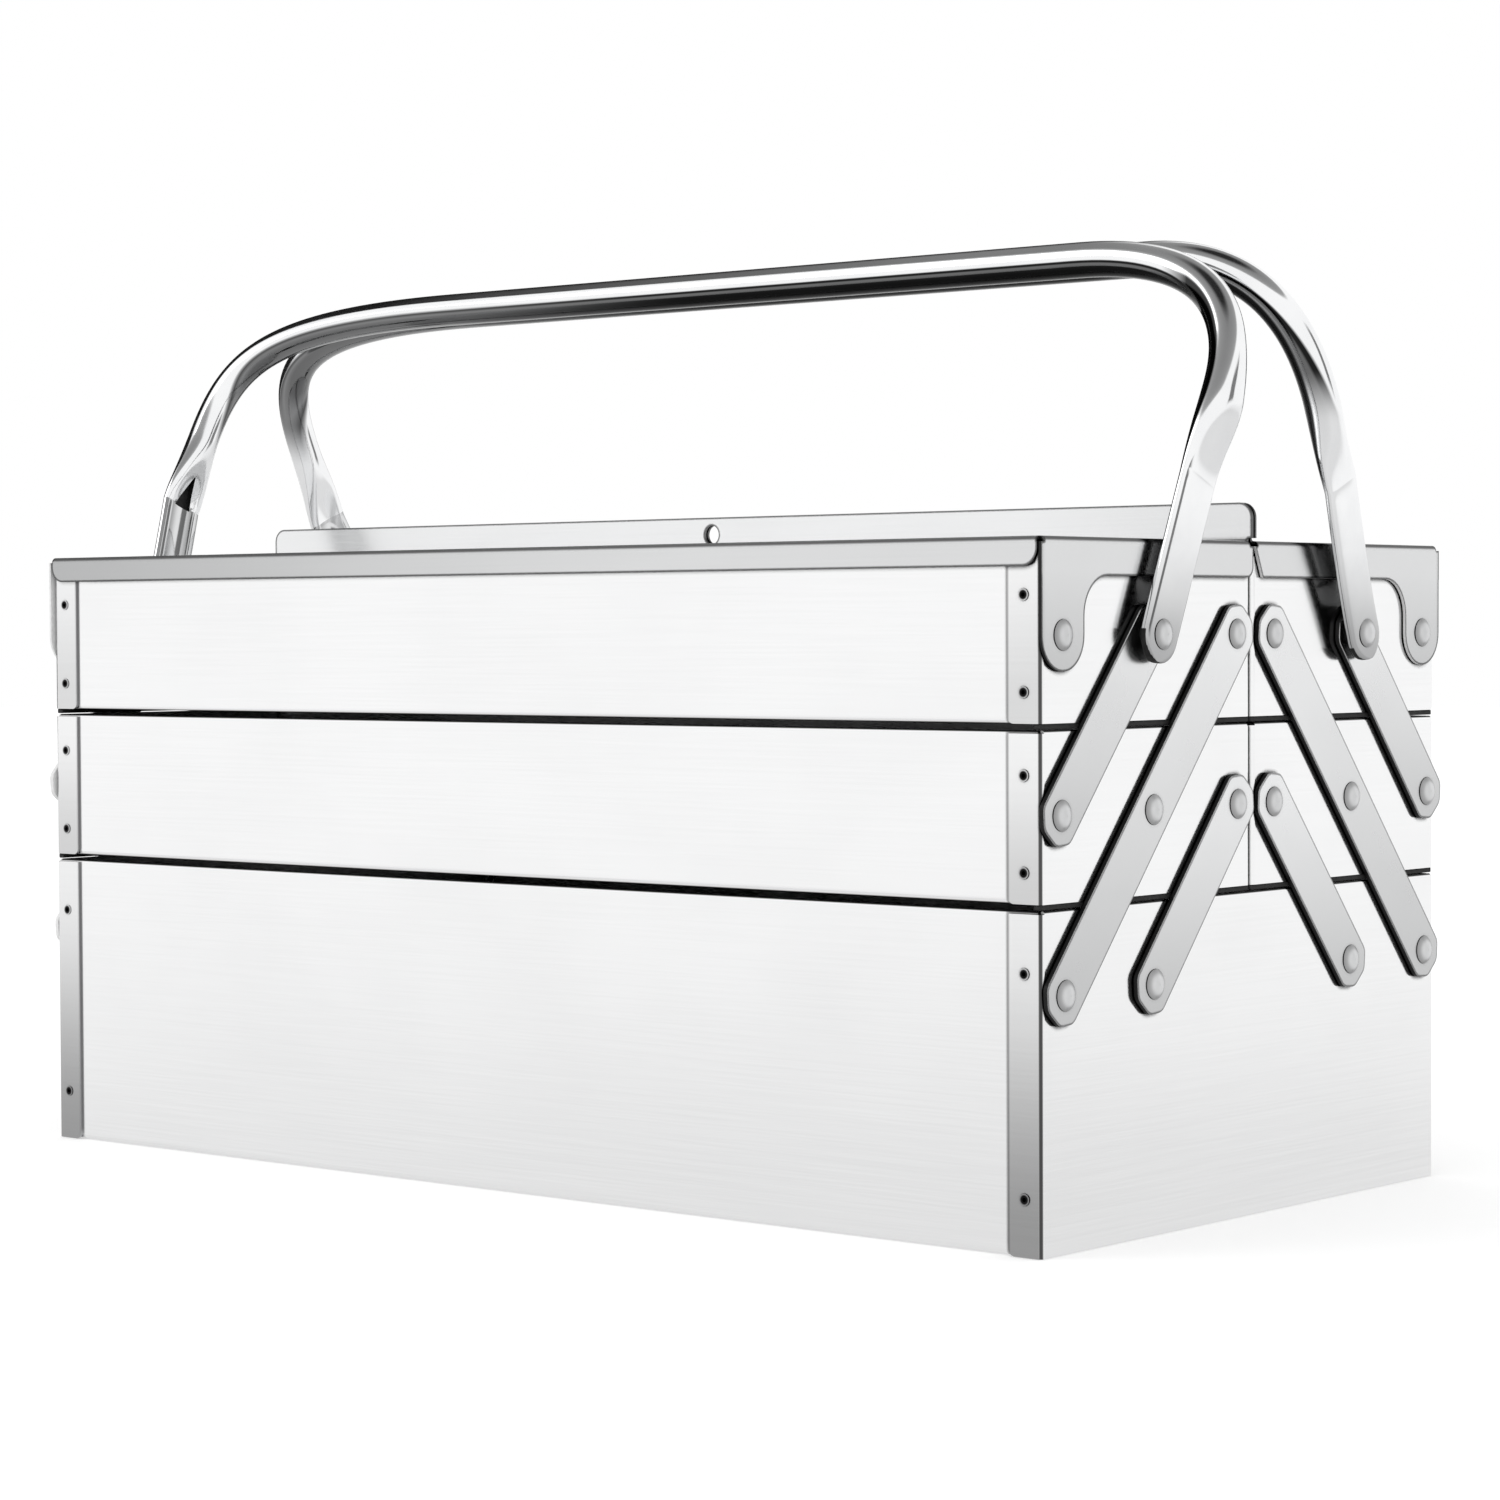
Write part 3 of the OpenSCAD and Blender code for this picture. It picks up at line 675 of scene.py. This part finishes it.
def make_shadow_strip(side, tier, end, material):
    """A dark strip with rounded edges under a tray's end: a painted shadow for the gap between the tiers. It
    ends just clear of the rim below.
    """
    r, clear = 0.3, 0.05
    floor_z = TIERS[tier][0]
    outer = END_X - SHADOW_STRIP_IN
    x0, x1 = sorted((ENDS[end] * outer, ENDS[end] * (outer - SHADOW_STRIP_W)))
    y0, y1 = sorted((-SIDES[side] * SHADOW_STRIP_IN, -SIDES[side] * (SIDE_Y - SHADOW_STRIP_IN)))
    rings = []
    for y, shrink in ((y0, r), (y0 + r, 0.0), (y1 - r, 0.0), (y1, r)):
        low, high = floor_z - SHADOW_STRIP_H + shrink, floor_z - clear - shrink
        corners = [(x0 + shrink, low), (x1 - shrink, low), (x1 - shrink, high), (x0 + shrink, high)]
        rings.append([(x * MM, y * MM, z * MM) for x, z in rounded_polygon(corners, r, steps=2)])
    o = loft(f"piece_{side}_{tier}_buffer_{end}", rings)
    o.data.materials.append(material)
    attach(o, f"{side}_{tier}_tray")


# ---- Links ----

LINK_CORNER_R, LINK_CHAMFER, BORE_SIDES = 1.6, 0.18, 24


def make_link(kind, side, end, faces, edges):
    """A link with clipped corners and chamfered edges, drawn upright from its lowest pivot and then leant."""
    low_y, low_z, spans = LINKS[kind]
    half, top = LINK_W / 2, spans * LINK_PITCH + LINK_W / 2
    c = LINK_CLIP
    corners = [
        (-half, -half + c), (-half + c, -half), (half - c, -half), (half, -half + c),
        (half, top - c), (half - c, top), (-half + c, top), (-half, top - c),
    ]
    holes = [circle_points((0, k * LINK_PITCH), BORE_R, BORE_SIDES) for k in range(spans + 1)]
    name = f"{side}_{kind}_link_{end}"
    o = plate("piece_" + name, rounded_polygon(corners, LINK_CORNER_R), holes, LINK_OUT - LINK_IN)
    bevel = o.modifiers.new("edge", "BEVEL")
    bevel.width = LINK_CHAMFER
    bevel.segments = 1
    bevel.limit_method = "ANGLE"
    bevel.angle_limit = math.radians(50)
    apply_modifiers(o)
    o.data.materials.append(faces)
    o.data.materials.append(edges)
    for face in o.data.polygons:
        face.material_index = 0 if face.normal.x > 0.5 else 1
    lean = Matrix.Rotation(-LINK_LEAN, 4, "X")
    place = Matrix.Translation((END_X + LINK_IN, -low_y, low_z))
    mirror = Matrix.Diagonal((ENDS[end], SIDES[side], 1, 1))
    o.data.transform(Matrix.Scale(MM, 4) @ mirror @ place @ lean)
    if ENDS[end] * SIDES[side] < 0:
        o.data.flip_normals()
    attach(o, f"{side}_{kind}_links")
    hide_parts(name)


# ---- Handles ----

# Points round a ring, and rings along a bent corner and along half the straight grip.
SECTION, CORNER_RINGS, GRIP_RINGS = 64, 60, 8
# A handle's material slots: plating, painted shade for the mouths and the right straps' round ends, and
# painted shade on the straps' inner faces.
PLATED, HOLLOW, INNER = range(3)


def lerp(a, b, s):
    return a + (b - a) * s


def ease(value, low, high):
    """0 at low, 1 at high, with a smooth change between them."""
    s = min(max((value - low) / (high - low), 0.0), 1.0)
    return s * s * (3 - 2 * s)


def tube_path(side, end):
    """(x, t, angle) along half the centre line, from the top of the strap to the middle of the grip."""
    a, b, c, d = [Vector(p) for p in CORNERS[side, end]]
    path = []
    for k in range(CORNER_RINGS + 1):
        # The rings stand closer together near the strap, where the section changes.
        s = (k / CORNER_RINGS) ** 1.2
        r = 1 - s
        place = r**3 * a + 3 * r * r * s * b + 3 * r * s * s * c + s**3 * d
        run = 3 * r * r * (b - a) + 6 * r * s * (c - b) + 3 * s * s * (d - c)
        path.append((place.x, place.y, math.atan2(-run.x, run.y)))
    for k in range(1, GRIP_RINGS + 1):
        path.append((d.x * (1 - k / GRIP_RINGS), HANDLE_REACH, math.pi / 2))
    return path


def flat_section(half_w, trough):
    """Flattened tube: round sides, a nearly flat outer face and a trough on the inner one.

    Points are (out, across), out measured from the middle of the strap.
    """
    half_t = (STRAP_OUT - STRAP_IN) / 2
    tiny = 1e-6
    # The powers make a boxy oval of the circle. The trough takes up two thirds of the width.
    points = []
    for c, s in circle_points((0, 0), 1, SECTION):
        across = half_w * math.copysign(abs(s) ** 0.72, s)
        share = min(abs(across) / max(half_w, tiny), 1.0)
        out = half_t * math.copysign((1 - share**6) ** (1 / 3), c) if abs(c) > 1e-9 else 0.0
        if c < 0:
            out += trough * max(0.0, 1 - (across / (0.66 * half_w + tiny)) ** 2)
        points.append((out, across))
    return points


def turned(side, end, t):
    """How far across a leg stands at t: the strap is turned about its pivot, and the tube comes back."""
    above = max(t - STRAP_L, 0.0) / (HANDLE_REACH - STRAP_L)
    share = t / STRAP_L if t < STRAP_L else max(math.cos(math.pi / 2 * above), 0.0) ** 1.3
    return -SIDES[side] * STRAP_TURN[end] * share


def handle_half_rings(side, end):
    """Rings from the round end of the strap up to the middle of the grip, as (x, across, t)."""
    middle = END_X + (STRAP_IN + STRAP_OUT) / 2
    tilt = STRAP_TILT[side, end]
    half_w = STRAP_W / 2
    rings = []
    # The strap's round end, which stops just short of a point.
    for k in range(9):
        a = math.pi / 2 * (1 - k / 8) * 0.97
        t = -half_w * math.sin(a)
        shift = turned(side, end, t)
        rings.append([(middle + o, n + shift, t) for o, n in flat_section(half_w * math.cos(a), 0.0)])
    for t in (6.0, 10.0, 13.0, 16.0, 19.0, 22.0, 28.0, 34.0, 40.0, 44.0, 46.6):
        out = middle + tilt * (t / STRAP_L) ** 1.3
        shift = turned(side, end, t)
        section = flat_section(half_w, TROUGH * ease(t, *TROUGH_FROM))
        rings.append([(out + o, n + shift, t) for o, n in section])
    flat = flat_section(half_w, TROUGH)
    round_ = circle_points((0, 0), TUBE_R, SECTION)
    for x, t, a in tube_path(side, end):
        # The tube opens out of the strap: first its outer side swells, then its width draws in.
        s = min((t - STRAP_L) / OPENING_L, 1.0)
        swell, narrow = ease(s, -0.10, 0.95), ease(s, 0.05, 1.0)
        if (side, end) == ("front", "right"):
            # This leg keeps the strap's width for longer.
            narrow = ease(t, 60.0, 92.0)
        centre = lerp(middle + tilt, x, ease(s, 0.0, 0.9))
        shift = turned(side, end, t)
        a *= ease(s, 0.0, 0.9)
        ring = []
        for f, r in zip(flat, round_):
            out, across = lerp(f[0], r[0], swell), lerp(f[1], r[1], narrow)
            ring.append((centre + out * math.cos(a), across + shift, t + out * math.sin(a)))
        rings.append(ring)
    return rings


def mouth_cutter(name, side, end):
    """Triangular mouth where the tube opens out of the strap, cut into its inner side."""
    low, high = STRAP_L - 0.6, STRAP_L + 0.4 * OPENING_L
    half, tip = 0.22 * STRAP_W, 0.25
    ahead, deep = 3, 1.9
    face = END_X + STRAP_IN + STRAP_TILT[side, end]
    shift = turned(side, end, STRAP_L)
    corners = ((-half, low), (half, low), (tip, high), (-tip, high))
    return loft(name, [
        [(ENDS[end] * x, n + shift, t) for n, t in corners] for x in (face - ahead, face + deep)
    ])


def make_handle(side, plated, hollow, inner):
    """A handle in one skin, with a mouth at each end of the front one and at the right of the back one."""
    half = handle_half_rings(side, "right")
    other = [[(-x, n, t) for x, n, t in ring] for ring in reversed(handle_half_rings(side, "left")[:-1])]
    o = loft(f"piece_{side}_handle", half + other)
    for material in (plated, hollow, inner):
        o.data.materials.append(material)
    for end in ENDS if side == "front" else ("right",):
        cutter = mouth_cutter(f"cutter_{side}_{end}", side, end)
        # The mouth's cut faces get painted shade.
        cutter.data.materials.append(hollow)
        cut = o.modifiers.new("mouth", "BOOLEAN")
        cut.operation, cut.solver, cut.object = "DIFFERENCE", "EXACT", cutter
        cut.material_mode = "TRANSFER"
        apply_modifiers(o)
        bpy.data.objects.remove(cutter)
    # The straps' inner faces get painted shade, and the right straps' round ends get painted shade on their
    # edge.
    for face in o.data.polygons:
        x, _, t = face.center
        on_strap = t < STRAP_L + 0.5 and abs(x) > END_X
        if on_strap and face.material_index == PLATED and face.normal.x * x < -0.5 * abs(x):
            face.material_index = INNER
        elif t < -1.5 and x > 0 and abs(face.normal.x) < 0.6:
            face.material_index = HOLLOW
    lean = math.asin((HANDLE_Y - GRIP_Y) / HANDLE_REACH)
    place = Matrix.Translation((0, -HANDLE_Y, HANDLE_Z)) @ Matrix.Rotation(-lean, 4, "X")
    o.data.transform(Matrix.Scale(MM, 4) @ Matrix.Diagonal((1, SIDES[side], 1, 1)) @ place)
    if SIDES[side] < 0:
        o.data.flip_normals()
    smooth(o, 30)
    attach(o, f"{side}_handle")
    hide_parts(f"{side}_handle")


# ---- The scene ----

make_camera()
make_world()
make_floor()
make_lamp("key", (-1.6, -2.2, 1.9), (0, 0, 0.1), (1.4, 1.4), 12)

wall_steel = steel("wall_steel", SHEET, 0.14, ROLLED, seam_shade)
inside_steel = steel("inside_steel", INSIDE, 0.40, ROLLED)
lid_steel = steel("lid_steel", DULL_SHEET, 0.18, LID_GRAIN, lid_shade, edges=0.85)
lid_top = steel("lid_top", DULL_SHEET, 0.30, LID_GRAIN, edges=0.85, metal=0.4)
rivet_steel = steel("rivet_steel", RIVET, 0.42, RIVET_GRAIN, rivet_shade, waviness=0.02)
# Painted shade for the right end's narrow edges and the hollows, painted light for the left end's narrow
# edges, and the strips' painted shadow.
shaded_edge = dark_edge("shaded_edge", 0.012, 0.5)
lit_edge = dark_edge("lit_edge", 0.84, 0.6, metal=0.0, spread=0.06, relief=0.005)
strip_shade = dark_edge("strip_shade", 0.02, 0.8, metal=0.0)
hollow_dark = dark_edge("hollow_dark", 0.02, 0.6)
tube_chrome = chrome("tube_chrome", tube_shade)
strap_inside = chrome("strap_inside", strap_inside_shade)
end_steel = {tier: steel(f"end_steel_{tier}", SHEET, 0.14, ROLLED, flange_shade(tier)) for tier in TIERS}
dot_steel = {tier: steel(f"dot_steel_{tier}", SHEET, 0.2, DOT_GRAIN, dot_shade(tier)) for tier in TIERS}
link_steel = {}
for kind in LINKS:
    values = {"waviness": 0.03, "edges": 0.75}
    link_steel[kind] = steel(f"link_steel_{kind}", DULL_SHEET, 0.24, LINK_GRAIN, link_shade(kind), **values)

for node in NODES:
    tier = "base" if node.startswith("base") else node.split("_")[1]
    if node.endswith("corner_rivets"):
        dress(node, dot_steel[tier])
    elif node.endswith("rivets"):
        dress(node, rivet_steel)
    elif "_end_" in node:
        pan = node.split("_end_")[0] + "_pan"
        dress(node, end_steel[tier], inside_steel, pick=inside_of(pan))
    elif node.endswith("_pan"):
        dress(node, wall_steel, inside_steel, pick=inside_of(node))
    elif node.endswith("_lid"):
        dress(node, lid_steel, shaded_edge, lit_edge, lid_top, pick=lid_slot)

for side in SIDES:
    for end in ENDS:
        for tier in ("mid", "top"):
            make_shadow_strip(side, tier, end, strip_shade)
    make_handle(side, tube_chrome, hollow_dark, strap_inside)
    # The links' sides get painted shade at the right end and painted light at the left.
    for end in ENDS:
        for kind in LINKS:
            make_link(kind, side, end, link_steel[kind], shaded_edge if end == "right" else lit_edge)

SCENE.view_settings.view_transform = "Standard"
